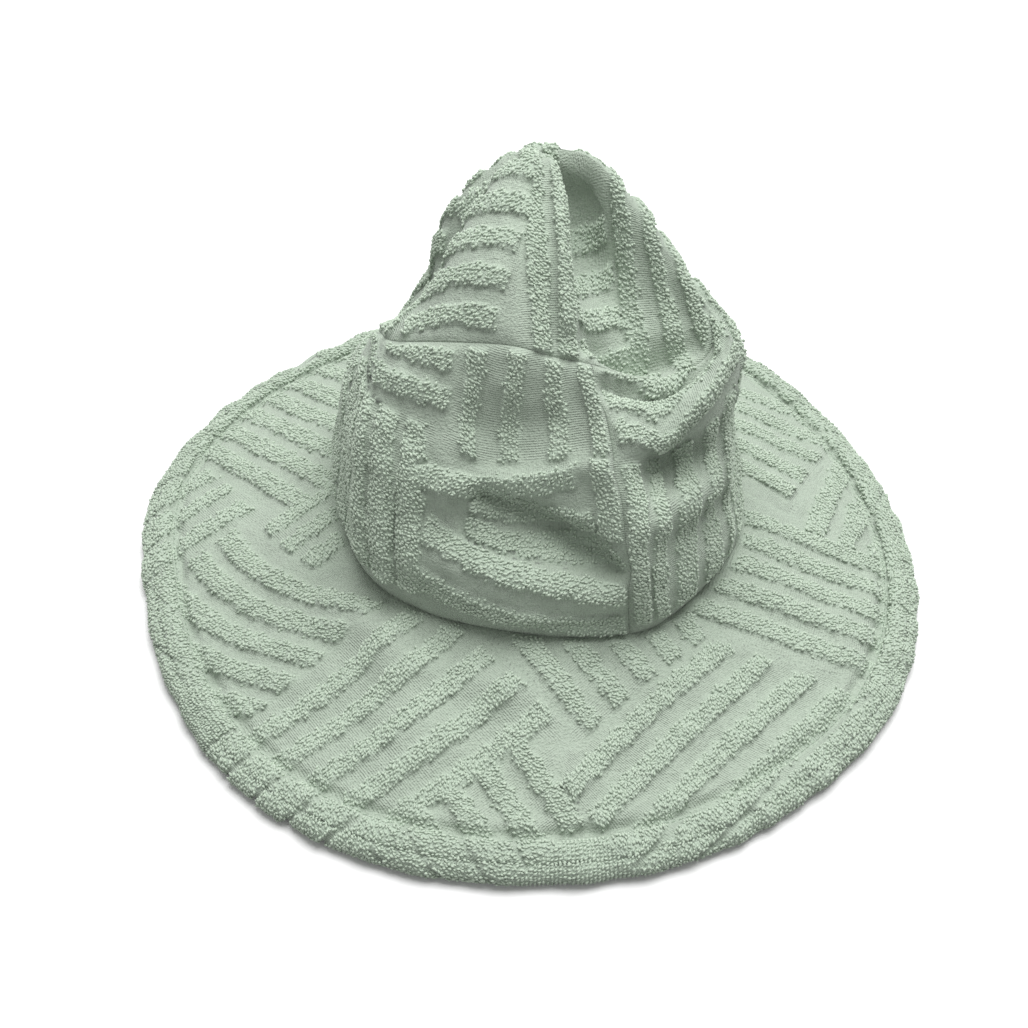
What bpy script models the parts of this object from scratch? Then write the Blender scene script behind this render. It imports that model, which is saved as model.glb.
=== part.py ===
"""Terry bucket hat with a deep soft crown that has slumped back into a peak.

One ply of terry makes every visible piece: two crown sides that meet at a front and a
back seam, a round crown tip, and a wide sloping brim whose edge is turned under and
stitched. Inside are a sweatband, tapes over the seams and a blank care label.

Run with: blender --background --python part.py
Lengths are in millimetres until a mesh is made, then in metres. +Z is up, the floor is
z = 0, +X is to the wearer's side and -Y is the side that the front seam faces.
"""

import math

import bmesh
import bpy
import numpy as np

# Driving dimensions, millimetres
MM = 0.001
TERRY = 3.0
SEAM_GAP = 0.5
HEM_WIDTH = 17.0
HEM_ROUND = 5.0
HEM_PUFF = 1.6
HEM_FLAT = 7.0
STITCH_GROOVE = 1.8
GROOVE_SPREAD = 2.0
THREAD_RADIUS = 0.45
LINING_GAP = 0.5
SWEATBAND = 1.2
TAPE = 0.8
TAPE_HALF_WIDTH = 6.0
LABEL = 0.6
LABEL_DEPTH = 1.6
COLUMNS = 56
CROWN_ROUND = 560.0
BRIM_CENTRE = (-3.0, 7.0)
CROWN_MIDDLE = (2.0, 10.0)
PUFF_PLACE = 10.5
PUFF_SPREAD = 4.0
HEM_SHOULDER = 9.0
GROOVE_SHOULDER = 4.0
GROOVE_FOOT = 3.5
SLOPE_START = HEM_WIDTH + 10.0
TURNED_EDGE = 1.0
TURNED_RISE = 0.5
TURNED_BEND = 1.5
TURNED_BEND_RISE = 0.32
THREAD_CLEARANCE = 0.35

# How the cloth's surface normals are smoothed where the grid bends
SIDEWAYS_SMOOTHING = 0.5
LEAST_HALF_ANGLE = 0.75

# The brim's edge: its radius at equal steps round from the front towards +X
RIM_RADII = (179.5, 181.7, 182.0, 184.3, 181.0, 176.3, 174.0, 176.7, 176.0,
             175.0, 174.0, 172.8, 178.0, 181.5, 174.8, 175.0, 178.7, 179.8)

# The crown's shape: columns of points from the brim seam up to the tip seam, in order
# round from the front seam towards +X. Levels are evenly spaced along the cloth.
CROWN_COLUMNS = {
    "front": ((42, -74, 38), (41, -75, 51), (40, -72, 66), (38, -67, 80), (37, -59, 93),
              (35, -49, 107), (31, -37, 120), (28, -25, 130), (25, -15, 137)),
    "front_right": ((60, -63, 36), (59, -66, 49), (57, -62, 63), (56, -55, 76), (55, -47, 89),
                    (56, -27, 93), (54, -29, 109), (52, -20, 123), (55, -4, 121)),
    "right_front": ((76, -46, 36), (77, -47, 48), (76, -43, 60), (74, -34, 70), (75, -33, 84),
                    (74, -21, 95), (73, -20, 110), (71, -11, 124), (73, 6, 126)),
    "right": ((93, -18, 37), (91, -17, 48), (88, -13, 60), (86, -9, 70), (84, -4, 80),
              (84, 0, 91), (86, 3, 105), (87, 9, 123), (69, 30, 142)),
    "right_back": ((92, 24, 39), (92, 24, 49), (90, 26, 60), (89, 28, 71), (88, 31, 82),
                   (87, 34, 93), (85, 38, 104), (80, 44, 116), (66, 57, 122)),
    "back_right": ((74, 62, 40), (76, 64, 50), (77, 68, 60), (76, 72, 69), (74, 75, 77),
                   (71, 77, 85), (67, 79, 92), (60, 80, 99), (50, 80, 106)),
    "back_near_right": ((42, 89, 40), (44, 92, 50), (46, 98, 58), (45, 102, 65), (42, 103, 73),
                        (38, 101, 81), (34, 99, 88), (30, 97, 94), (27, 97, 100)),
    "back_middle": ((4, 98, 40), (4, 102, 49), (4, 110, 56), (3, 116, 63), (2, 117, 72),
                    (0, 113, 80), (-2, 108, 85), (-4, 104, 91), (-6, 101, 97)),
    "back": ((-34, 91, 40), (-35, 95, 49), (-36, 101, 57), (-37, 104, 64), (-37, 104, 72),
             (-37, 100, 79), (-38, 97, 85), (-38, 95, 90), (-37, 93, 95)),
    "back_left": ((-66, 66, 40), (-69, 68, 49), (-71, 71, 58), (-71, 73, 66), (-70, 72, 73),
                  (-68, 70, 79), (-66, 69, 84), (-63, 68, 89), (-60, 66, 93)),
    "left_back": ((-82, 34, 40), (-85, 36, 50), (-86, 37, 60), (-85, 39, 69), (-83, 40, 78),
                  (-81, 41, 86), (-78, 42, 93), (-73, 44, 99), (-67, 46, 102)),
    "left": ((-86, 0, 40), (-87, 1, 52), (-86, 4, 64), (-84, 7, 75), (-82, 11, 85),
             (-80, 15, 94), (-77, 20, 103), (-72, 25, 111), (-66, 30, 118)),
    "left_front": ((-69, -46, 40), (-72, -46, 52), (-73, -41, 64), (-73, -35, 76), (-72, -28, 88),
                   (-71, -21, 99), (-69, -14, 110), (-65, -4, 121), (-57, 7, 131)),
    "front_left": ((-47, -62, 39), (-47, -65, 51), (-46, -58, 66), (-45, -50, 78), (-44, -44, 91),
                   (-43, -36, 103), (-42, -27, 115), (-41, -17, 128), (-38, -5, 140)),
    "front_near_left": ((-13, -74, 40), (-13, -79, 52), (-13, -69, 66), (-13, -52, 76),
                        (-13, -47, 92), (-12, -36, 102), (-12, -28, 115), (-10, -21, 130),
                        (-7, -13, 144)),
    "front_middle": ((18, -77, 39), (18, -79, 52), (18, -68, 65), (17, -57, 76), (17, -52, 91),
                     (16, -43, 104), (15, -33, 118), (13, -24, 130), (12, -14, 139)),
}

# The tip is a round of cloth drawn up to a peak. Each column says how far its cloth stands
# out from the straight line between the tip seam and the peak, at a quarter, a half and
# three quarters of the way up.
PEAK = (4.0, 68.0, 189.0)
PEAK_ROUND = 9.0
PEAK_DROP = 0.75
PEAK_AXIS = (0.0, 0.3, 0.95)
TIP_SWELL = {
    "front": (2, 3, 3),
    "front_right": (-7, -10, -6),
    "right_front": (-6, -4, 1),
    "right": (3, 6, 9),
    "right_back": (5, 9, 9),
    "back_right": (6, 9, 8),
    "back_near_right": (6, 9, 8),
    "back_middle": (6, 9, 8),
    "back": (6, 9, 8),
    "back_left": (2, 9, 8),
    "left_back": (-6, 9, 9),
    "left": (-12, -6, 3),
    "left_front": (0, 4, 5),
    "front_left": (5, 7, 6),
    "front_near_left": (5, 7, 6),
    "front_middle": (3, 5, 5),
}

# Rows of the meshes, as shares of the way along each piece of cloth. The pieces inside the
# crown share rows and columns with the cloth that they lie on, so they never cut into it.
BRIM_ROWS = (0.0, 0.25, 0.5, 0.75)
SIDE_ROWS = (0.0, 0.04, 0.1, 0.17, 0.24, 0.32, 0.4, 0.48, 0.56, 0.64, 0.72, 0.8, 0.87, 0.925,
             0.97, 1.0)
TIP_ROWS = (0.0, 0.13, 0.28, 0.45, 0.62, 0.78, 0.91)
SWEATBAND_ROWS = (1, 4)
SEAM_TAPE_ROWS = (5, 11)
TIP_TAPE_ROWS = (12, 13)
LABEL_ROWS = (5, 8)
LABEL_COLUMNS = (3, 5)

SAGE = (0.49, 0.61, 0.50)
SAGE_SHADE = (0.42, 0.53, 0.44)
TAPE_WHITE = (0.78, 0.80, 0.76)
CLOTH_ROUGHNESS = 0.95
SHARP_ANGLE = 50                # degrees; edges sharper than this are shaded as edges


def unit(vectors):
    length = np.linalg.norm(vectors, axis=-1, keepdims=True)
    return vectors / np.maximum(length, 1e-9)


def hermite(values, knots, index, x):
    """A smooth cubic through values at uneven knots, at x in the interval that starts at index."""
    shape = (-1,) + (1,) * (values.ndim - 1)

    def slope(j):
        before = (knots[j] - knots[j - 1]).reshape(shape)
        after = (knots[j + 1] - knots[j]).reshape(shape)
        rise_after = (values[j + 1] - values[j]) / after
        rise_before = (values[j] - values[j - 1]) / before
        return (rise_after * before + rise_before * after) / (before + after)

    width = (knots[index + 1] - knots[index]).reshape(shape)
    u = ((x - knots[index]) / (knots[index + 1] - knots[index])).reshape(shape)
    start = (2 * u**3 - 3 * u**2 + 1) * values[index]
    start = start + (u**3 - 2 * u**2 + u) * width * slope(index)
    end = (3 * u**2 - 2 * u**3) * values[index + 1]
    return start + end + (u**3 - u**2) * width * slope(index + 1)


def along_loop(values, knots, x):
    """Smooth values round a loop of length 1."""
    loop_knots = np.concatenate([[knots[-1] - 1], knots, [1 + knots[0], 1 + knots[1]]])
    loop_values = np.concatenate([values[-1:], values, values[:2]])
    x = np.mod(x, 1.0)
    index = np.clip(np.searchsorted(loop_knots, x, side="right") - 1, 1, len(knots))
    return hermite(loop_values, loop_knots, index, x)


def along_run(values, knots, x):
    """Smooth values along an open run."""
    run_knots = np.concatenate([[2 * knots[0] - knots[1]], knots, [2 * knots[-1] - knots[-2]]])
    first = 2 * values[:1] - values[1:2]
    last = 2 * values[-1:] - values[-2:-1]
    run_values = np.concatenate([first, values, last])
    index = np.clip(np.searchsorted(run_knots, x, side="right") - 1, 1, len(knots) - 1)
    return hermite(run_values, run_knots, index, x)


CAGE = np.array(list(CROWN_COLUMNS.values()), float)
NAMES = list(CROWN_COLUMNS)


def column_places():
    """Where each column stands round the crown, from 0 at the front seam to 1."""
    low, high = CAGE[:, 0], CAGE[:, -1]
    steps = np.linalg.norm(np.roll(low, -1, 0) - low, axis=1)
    steps = steps + np.linalg.norm(np.roll(high, -1, 0) - high, axis=1)
    return np.concatenate([[0], np.cumsum(steps)[:-1]]) / steps.sum()


PLACES = column_places()
BACK_SEAM = PLACES[NAMES.index("back")]


def side_points(around, up):
    """The crown side's outer surface: around is 0 to 1 from the front seam, up is 0 to 1."""
    columns = along_loop(CAGE, PLACES, np.asarray(around, float))
    levels = np.linspace(0, 1, CAGE.shape[1])
    points = along_run(np.swapaxes(columns, 0, 1), levels, np.asarray(up, float))
    return np.swapaxes(points, 0, 1)


def tip_points(around, up):
    """The crown tip's outer surface: up is 0 at the tip seam and 1 at the peak."""
    ring = CAGE[:, -1]
    peak = np.array(PEAK)
    outward = unit(np.cross(np.roll(ring, -1, 0) - np.roll(ring, 1, 0), peak - ring))
    levels = np.array([0, 0.25, 0.5, 0.75, 1.0])
    swell = np.array([(0, *TIP_SWELL[name], 0) for name in NAMES], float)
    lines = ring[:, None] * (1 - levels)[None, :, None] + peak * levels[None, :, None]
    cage = lines + outward[:, None] * swell[:, :, None]
    columns = along_loop(cage, PLACES, np.asarray(around, float))
    up = np.asarray(up, float)
    points = np.swapaxes(along_run(np.swapaxes(columns, 0, 1), levels, up), 0, 1)
    seam = side_points(around, [1.0])
    points = points + (seam - points[:, :1]) * ((1 - up) ** 4)[None, :, None]
    return round_peak(points, peak)


def round_peak(points, peak):
    """Rounds off the point where all the tip's columns meet."""
    distance = np.linalg.norm(points - peak, axis=-1) / PEAK_ROUND
    drop = PEAK_ROUND * PEAK_DROP * (np.sqrt(1 + distance**2) - distance)
    return points - drop[..., None] * np.array(PEAK_AXIS)


def rim_points(around):
    """The brim's outermost line, straight out from the crown seam, on the plan."""
    seam = side_points(around, [0.0])[:, 0]
    angle = np.arctan2(seam[:, 0] - CROWN_MIDDLE[0], CROWN_MIDDLE[1] - seam[:, 1])
    steps = np.arange(len(RIM_RADII)) / len(RIM_RADII)
    radius = along_loop(np.array(RIM_RADII), steps, angle / (2 * math.pi))
    x = BRIM_CENTRE[0] + radius * np.sin(angle)
    y = BRIM_CENTRE[1] - radius * np.cos(angle)
    return np.stack([x, y, np.zeros_like(x)], axis=-1)


def brim_profile():
    """The brim's section outside the sloping part: distance in from the edge, height."""
    crest = 2 * HEM_ROUND
    places = (HEM_WIDTH + GROOVE_SHOULDER, HEM_WIDTH, HEM_WIDTH - GROOVE_FOOT, HEM_SHOULDER)
    rows = [(place, None) for place in places]
    for degrees in (90, 45, 0, -45, -90):
        angle = math.radians(degrees)
        rows.append((HEM_ROUND * (1 - math.cos(angle)), HEM_ROUND * (1 + math.sin(angle))))
    rows.append((HEM_ROUND + HEM_FLAT, 0.0))
    rows.append((HEM_WIDTH - TURNED_BEND, TURNED_BEND_RISE * crest))
    rows.append((HEM_WIDTH + TURNED_EDGE, TURNED_RISE * crest))
    return rows


def hem_height(inward):
    """How far the hem stands off the plain slope: puffed near the edge, dented at the stitches."""
    puff = HEM_PUFF * np.exp(-(((inward - PUFF_PLACE) / PUFF_SPREAD) ** 2))
    groove = STITCH_GROOVE * np.exp(-(((inward - HEM_WIDTH) / GROOVE_SPREAD) ** 2))
    return puff - groove


def brim_points(around):
    """The brim's outer surface, from its turned-under edge over the hem and up to the crown."""
    seam = side_points(around, [0.0])[:, 0]
    rim = rim_points(around)
    inward = unit((seam - rim) * (1, 1, 0))
    reach = np.linalg.norm((seam - rim)[:, :2], axis=-1)
    crest = 2 * HEM_ROUND

    def on_slope(distance):
        share = (distance - HEM_ROUND) / (reach - HEM_ROUND)
        height = crest + (seam[:, 2] - crest) * share + hem_height(distance)
        return rim + inward * np.reshape(distance, (-1, 1)) + height[:, None] * (0, 0, 1)

    rows = []
    for distance, height in reversed(brim_profile()):
        if height is None:
            rows.append(on_slope(np.full_like(reach, distance)))
        else:
            rows.append(rim + inward * distance + np.array([0, 0, height]))
    for share in reversed(BRIM_ROWS):
        rows.append(on_slope(reach - (reach - SLOPE_START) * share))
    rows[-1] = seam
    return np.stack(rows, axis=1)


def grid_normals(points):
    """Outward unit normals of a grid that is closed along its first axis."""
    across = np.roll(points, -1, 0) - np.roll(points, 1, 0)
    faces = np.cross(across[:, :-1] + across[:, 1:], points[:, 1:] - points[:, :-1])
    faces = unit(faces)
    beside = np.roll(faces, 1, 0) + np.roll(faces, -1, 0)
    faces = unit(faces + SIDEWAYS_SMOOTHING * beside)
    first = faces[:, :1]
    last = faces[:, -1:]
    summed = np.concatenate([first, faces], axis=1) + np.concatenate([faces, last], axis=1)
    normals = unit(summed)
    half_angle = np.linalg.norm(summed, axis=-1, keepdims=True) / 2
    return normals / np.clip(half_angle, LEAST_HALF_ANGLE, 1.0)


def columns_around():
    """Where the mesh columns stand: one on each seam, one at each edge of its tape, the rest even."""
    tape = TAPE_HALF_WIDTH / CROWN_ROUND
    spans = []
    for start, end in ((0.0, BACK_SEAM), (BACK_SEAM, 1.0)):
        between = np.linspace(start + tape, end - tape, COLUMNS // 2 - 1)
        spans.append(np.concatenate([[start], between]))
    return np.concatenate(spans)


def hat_surface(around):
    """All the cloth's outer surface as one grid, with the rows of each piece."""
    brim = brim_points(around)
    side = side_points(around, SIDE_ROWS)
    tip = tip_points(around, TIP_ROWS)
    points = np.concatenate([brim, side[:, 1:], tip[:, 1:]], axis=1)
    ends = {"brim": (0, brim.shape[1] - 1)}
    ends["side"] = (ends["brim"][1], ends["brim"][1] + len(SIDE_ROWS) - 1)
    ends["tip"] = (ends["side"][1], points.shape[1] - 1)
    return points, grid_normals(points), ends


def pulled_in(points, first, last, axis):
    """The same grid with its first and last rows moved in by half a seam gap."""
    points = np.moveaxis(points.copy(), axis, 1)
    if first:
        points[:, 0] += unit(points[:, 1] - points[:, 0]) * SEAM_GAP / 2
    if last:
        points[:, -1] += unit(points[:, -2] - points[:, -1]) * SEAM_GAP / 2
    return np.moveaxis(points, 1, axis)


def make_solid(name, outer, inner, closed, colour, apex=None):
    """One closed shell between two grids of points; apex closes the last row to a point."""
    mesh_data = bmesh.new()
    columns, rows = outer.shape[:2]
    skins = []
    for grid in (outer, inner):
        skins.append([[mesh_data.verts.new(p * MM) for p in column] for column in grid])
    spans = columns if closed else columns - 1
    top, under = skins
    for i in range(spans):
        j = (i + 1) % columns
        for k in range(rows - 1):
            mesh_data.faces.new((top[i][k], top[j][k], top[j][k + 1], top[i][k + 1]))
            mesh_data.faces.new((under[i][k], under[i][k + 1], under[j][k + 1], under[j][k]))
        mesh_data.faces.new((top[j][0], top[i][0], under[i][0], under[j][0]))
        if apex is None:
            mesh_data.faces.new((top[i][-1], top[j][-1], under[j][-1], under[i][-1]))
    if apex is not None:
        for skin, point, turn in ((top, apex[0], 1), (under, apex[1], -1)):
            peak = mesh_data.verts.new(point * MM)
            for i in range(columns):
                ring = (skin[i][-1], skin[(i + 1) % columns][-1], peak)
                mesh_data.faces.new(ring[::turn])
    if not closed:
        for k in range(rows - 1):
            mesh_data.faces.new((top[0][k], top[0][k + 1], under[0][k + 1], under[0][k]))
            mesh_data.faces.new((top[-1][k + 1], top[-1][k], under[-1][k], under[-1][k + 1]))
    bmesh.ops.triangulate(mesh_data, faces=mesh_data.faces[:])
    bmesh.ops.recalc_face_normals(mesh_data, faces=mesh_data.faces[:])
    mesh = bpy.data.meshes.new(name)
    mesh_data.to_mesh(mesh)
    mesh_data.free()
    mesh.shade_smooth()
    mesh.set_sharp_from_angle(angle=math.radians(SHARP_ANGLE))
    return add_object(name, mesh, colour)


def add_object(name, data, colour):
    obj = bpy.data.objects.new(name, data)
    bpy.context.scene.collection.objects.link(obj)
    material = bpy.data.materials.new(name + "_cloth")
    material.use_nodes = True
    shader = material.node_tree.nodes["Principled BSDF"]
    shader.inputs["Base Color"].default_value = (*colour, 1.0)
    shader.inputs["Roughness"].default_value = CLOTH_ROUGHNESS
    shader.inputs["Metallic"].default_value = 0.0
    data.materials.append(material)
    return obj


def piece_of_hat(name, points, normals, closed, ends, colour):
    """A ply of terry whose outer face is points; ends says which edges meet a seam."""
    outer = pulled_in(points, ends[0], ends[1], 1)
    if not closed:
        outer = pulled_in(outer, True, True, 0)
    return make_solid(name, outer, outer - normals * TERRY, closed, colour)


def build_terry(points, normals, rows, seam_column):
    low, high = rows["brim"]
    piece_of_hat("brim", points[:, low:high + 1], normals[:, low:high + 1], True,
                 (False, True), SAGE)
    low, high = rows["side"]
    right = np.arange(0, seam_column + 1)
    left = np.arange(seam_column, COLUMNS + 1) % COLUMNS
    for name, columns in (("crown_side_right", right), ("crown_side_left", left)):
        cut = np.ix_(columns, np.arange(low, high + 1))
        piece_of_hat(name, points[cut], normals[cut], False, (True, True), SAGE)
    low, high = rows["tip"]
    outer = pulled_in(points[:, low:high + 1], True, False, 1)
    inner = outer - normals[:, low:high + 1] * TERRY
    top = tip_points(np.array([0.0]), [1.0])[0, 0]
    facing = unit(normals[:, high].mean(axis=0))
    make_solid("crown_tip", outer, inner, True, SAGE, apex=(top, top - facing * TERRY))


def lining_strip(name, surface, columns, rows, depth, thickness, closed=False):
    """A thin strip that lies inside the crown side at some depth under its outer face."""
    points, normals, ends = surface
    low = ends["side"][0]
    cut = np.ix_(columns, np.arange(low + rows[0], low + rows[1] + 1))
    outer = points[cut] - normals[cut] * depth
    inner = outer - normals[cut] * thickness
    make_solid(name, outer, inner, closed, TAPE_WHITE)


def build_lining(surface, seam_column):
    """The sweatband, the tapes that cover the seams inside, and a blank folded label."""
    everywhere = np.arange(COLUMNS)
    depth = TERRY + LINING_GAP
    lining_strip("sweatband", surface, everywhere, SWEATBAND_ROWS, depth, SWEATBAND, True)
    lining_strip("tip_seam_tape", surface, everywhere, TIP_TAPE_ROWS, depth, TAPE, True)
    for name, middle in (("front_seam_tape", 0), ("back_seam_tape", seam_column)):
        columns = (middle + np.array([-1, 0, 1])) % COLUMNS
        lining_strip(name, surface, columns, SEAM_TAPE_ROWS, depth, TAPE)
    columns = seam_column - np.arange(LABEL_COLUMNS[1], LABEL_COLUMNS[0] - 1, -1)
    lining_strip("care_label", surface, columns, LABEL_ROWS, TERRY + LABEL_DEPTH, LABEL)


def build_topstitch(around):
    """The thread that lies in the dent it pulls in the brim's hem, one closed ring."""
    seam = side_points(around, [0.0])[:, 0]
    rim = rim_points(around)
    inward = unit((seam - rim) * (1, 1, 0))
    reach = np.linalg.norm((seam - rim)[:, :2], axis=-1)
    crest = 2 * HEM_ROUND
    share = (HEM_WIDTH - HEM_ROUND) / (reach - HEM_ROUND)
    height = crest + (seam[:, 2] - crest) * share + hem_height(HEM_WIDTH)
    path = rim + inward * HEM_WIDTH
    path[:, 2] = height + THREAD_RADIUS + THREAD_CLEARANCE
    curve = bpy.data.curves.new("hem_topstitch", "CURVE")
    curve.dimensions = "3D"
    curve.bevel_depth = THREAD_RADIUS * MM
    curve.bevel_resolution = 0
    spline = curve.splines.new("POLY")
    spline.points.add(COLUMNS - 1)
    for point, place in zip(spline.points, path):
        point.co = (*(place * MM), 1.0)
    spline.use_cyclic_u = True
    add_object("hem_topstitch", curve, SAGE_SHADE)


def centre_on_brim():
    """Moves every object so that the hat's box is centred on the Z axis."""
    bpy.context.view_layer.update()
    brim = bpy.data.objects["brim"]
    corners = np.array([tuple(vertex.co) for vertex in brim.data.vertices])
    middle = (corners.min(axis=0) + corners.max(axis=0)) / 2
    for obj in bpy.data.objects:
        obj.location = (-middle[0], -middle[1], 0.0)


def main():
    for obj in list(bpy.data.objects):
        bpy.data.objects.remove(obj)
    around = columns_around()
    surface = hat_surface(around)
    build_terry(*surface, COLUMNS // 2)
    build_lining(surface, COLUMNS // 2)
    build_topstitch(around)
    centre_on_brim()


main()
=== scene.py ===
"""Looks of the terry bucket hat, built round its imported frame.

Each cut piece of terry is a fine grid that follows the hat's slumped shape. Its weave is a
parquet of raised pile stripes over a flat ribbed ground, and the pile is covered in real
loops. The lining, stitches and label lie inside, where the frame has them.
Lengths are in millimetres until a mesh is made, then in metres.
"""

import math

import bpy
import numpy as np
from mathutils import Matrix, Vector, kdtree


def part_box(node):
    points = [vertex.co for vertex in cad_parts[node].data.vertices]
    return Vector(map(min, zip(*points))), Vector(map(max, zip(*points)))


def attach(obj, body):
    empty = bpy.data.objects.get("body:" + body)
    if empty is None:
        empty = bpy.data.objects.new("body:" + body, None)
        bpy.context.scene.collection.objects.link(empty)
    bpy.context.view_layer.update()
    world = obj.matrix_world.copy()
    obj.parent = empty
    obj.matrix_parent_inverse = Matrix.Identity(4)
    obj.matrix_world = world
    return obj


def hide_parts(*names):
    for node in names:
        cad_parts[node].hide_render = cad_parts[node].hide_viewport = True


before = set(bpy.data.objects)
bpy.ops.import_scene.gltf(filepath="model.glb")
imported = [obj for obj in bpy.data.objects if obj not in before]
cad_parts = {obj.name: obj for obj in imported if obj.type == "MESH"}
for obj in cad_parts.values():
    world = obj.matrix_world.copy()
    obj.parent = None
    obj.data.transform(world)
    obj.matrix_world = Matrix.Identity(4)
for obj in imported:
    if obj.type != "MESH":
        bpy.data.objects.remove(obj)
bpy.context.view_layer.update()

# ---- The hat's shape, as the frame has it ----

MM = 0.001
TERRY = 3.0
HEM_WIDTH = 17.0
HEM_ROUND = 5.0
HEM_PUFF = 1.6
HEM_FLAT = 7.0
HEM_TUCK = 1.0
HEM_ZONE = 10.0
HEM_CREST = 10.5
HEM_SPREAD = 4.0
UNDER_RISE = 6.0
STITCH_GROOVE = 1.8
GROOVE_SPREAD = 2.0
LINING_GAP = 0.5
SWEATBAND = 1.2
TAPE = 0.8
TAPE_HALF_WIDTH = 6.0
RIDGE_SPREAD = 1.3              # a tape inside the front ridge spans more of the outer face
LABEL = 0.6
LABEL_DEPTH = 1.6
LABEL_CURL = 2.2
LINING_LOOSE = 0.12
CROWN_ROUND = 560.0
BRIM_CENTRE = (-3.0, 7.0)
CROWN_MIDDLE = (2.0, 10.0)

# The brim's edge: its radius at equal steps round from the front towards +X
RIM_RADII = (179.5, 181.7, 182.0, 184.3, 181.0, 176.3, 174.0, 176.7, 176.0,
             175.0, 174.0, 172.8, 178.0, 181.5, 174.8, 175.0, 178.7, 179.8)

# Columns of points from the brim seam up to the tip seam, in order round from the front
# seam towards +X. Levels are evenly spaced along the cloth.
CROWN_COLUMNS = (
    # front
    ((42, -74, 38), (41, -75, 51), (40, -72, 66), (38, -67, 80), (37, -59, 93), (35, -49, 107),
     (31, -37, 120), (28, -25, 130), (25, -15, 137)),
    ((60, -63, 36), (59, -66, 49), (57, -62, 63), (56, -55, 76), (55, -47, 89), (56, -27, 93),
     (54, -29, 109), (52, -20, 123), (55, -4, 121)),
    ((76, -46, 36), (77, -47, 48), (76, -43, 60), (74, -34, 70), (75, -33, 84), (74, -21, 95),
     (73, -20, 110), (71, -11, 124), (73, 6, 126)),
    # right
    ((93, -18, 37), (91, -17, 48), (88, -13, 60), (86, -9, 70), (84, -4, 80), (84, 0, 91),
     (86, 3, 105), (87, 9, 123), (69, 30, 142)),
    ((92, 24, 39), (92, 24, 49), (90, 26, 60), (89, 28, 71), (88, 31, 82), (87, 34, 93),
     (85, 38, 104), (80, 44, 116), (66, 57, 122)),
    ((74, 62, 40), (76, 64, 50), (77, 68, 60), (76, 72, 69), (74, 75, 77), (71, 77, 85),
     (67, 79, 92), (60, 80, 99), (50, 80, 106)),
    ((42, 89, 40), (44, 92, 50), (46, 98, 58), (45, 102, 65), (42, 103, 73), (38, 101, 81),
     (34, 99, 88), (30, 97, 94), (27, 97, 100)),
    ((4, 98, 40), (4, 102, 49), (4, 110, 56), (3, 116, 63), (2, 117, 72), (0, 113, 80),
     (-2, 108, 85), (-4, 104, 91), (-6, 101, 97)),
    # back
    ((-34, 91, 40), (-35, 95, 49), (-36, 101, 57), (-37, 104, 64), (-37, 104, 72), (-37, 100, 79),
     (-38, 97, 85), (-38, 95, 90), (-37, 93, 95)),
    ((-66, 66, 40), (-69, 68, 49), (-71, 71, 58), (-71, 73, 66), (-70, 72, 73), (-68, 70, 79),
     (-66, 69, 84), (-63, 68, 89), (-60, 66, 93)),
    ((-82, 34, 40), (-85, 36, 50), (-86, 37, 60), (-85, 39, 69), (-83, 40, 78), (-81, 41, 86),
     (-78, 42, 93), (-73, 44, 99), (-67, 46, 102)),
    # left
    ((-86, 0, 40), (-87, 1, 52), (-86, 4, 64), (-84, 7, 75), (-82, 11, 85), (-80, 15, 94),
     (-77, 20, 103), (-72, 25, 111), (-66, 30, 118)),
    ((-69, -46, 40), (-72, -46, 52), (-73, -41, 64), (-73, -35, 76), (-72, -28, 88), (-71, -21, 99),
     (-69, -14, 110), (-65, -4, 121), (-57, 7, 131)),
    ((-47, -62, 39), (-47, -65, 51), (-46, -58, 66), (-45, -50, 78), (-44, -44, 91),
     (-43, -36, 103), (-42, -27, 115), (-41, -17, 128), (-38, -5, 140)),
    ((-13, -74, 40), (-13, -79, 52), (-13, -69, 66), (-13, -52, 76), (-13, -47, 92),
     (-12, -36, 102), (-12, -28, 115), (-10, -21, 130), (-7, -13, 144)),
    ((18, -77, 39), (18, -79, 52), (18, -68, 65), (17, -57, 76), (17, -52, 91), (16, -43, 104),
     (15, -33, 118), (13, -24, 130), (12, -14, 139)),
)

BACK_COLUMN = 8

# The tip's peak, and in the columns' order how far the cloth stands out from the straight
# line to it
PEAK = (4.0, 68.0, 189.0)
PEAK_ROUND = 9.0
PEAK_DROP = 0.75
PEAK_LEAN = (0.0, 0.3, 0.95)
SEAM_PULL = 4
TIP_SWELL = ((2, 3, 3), (-7, -10, -6), (-6, -4, 1), (3, 6, 9), (5, 9, 9), (6, 9, 8), (6, 9, 8),
             (6, 9, 8), (6, 9, 8), (2, 9, 8), (-6, 9, 9), (-12, -6, 3), (0, 4, 5), (5, 7, 6),
             (5, 7, 6), (3, 5, 5))


def bell(x, middle, spread):
    """1 at the middle, fading smoothly to 0 on both sides."""
    return np.exp(-(((x - middle) / spread) ** 2))


def crossed(p, q):
    """The cross product of flat vectors."""
    return p[..., 0] * q[..., 1] - p[..., 1] * q[..., 0]


def norm(vectors):
    return np.linalg.norm(vectors, axis=-1)


def unit(vectors):
    length = np.linalg.norm(vectors, axis=-1, keepdims=True)
    return vectors / np.maximum(length, 1e-9)


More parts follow.
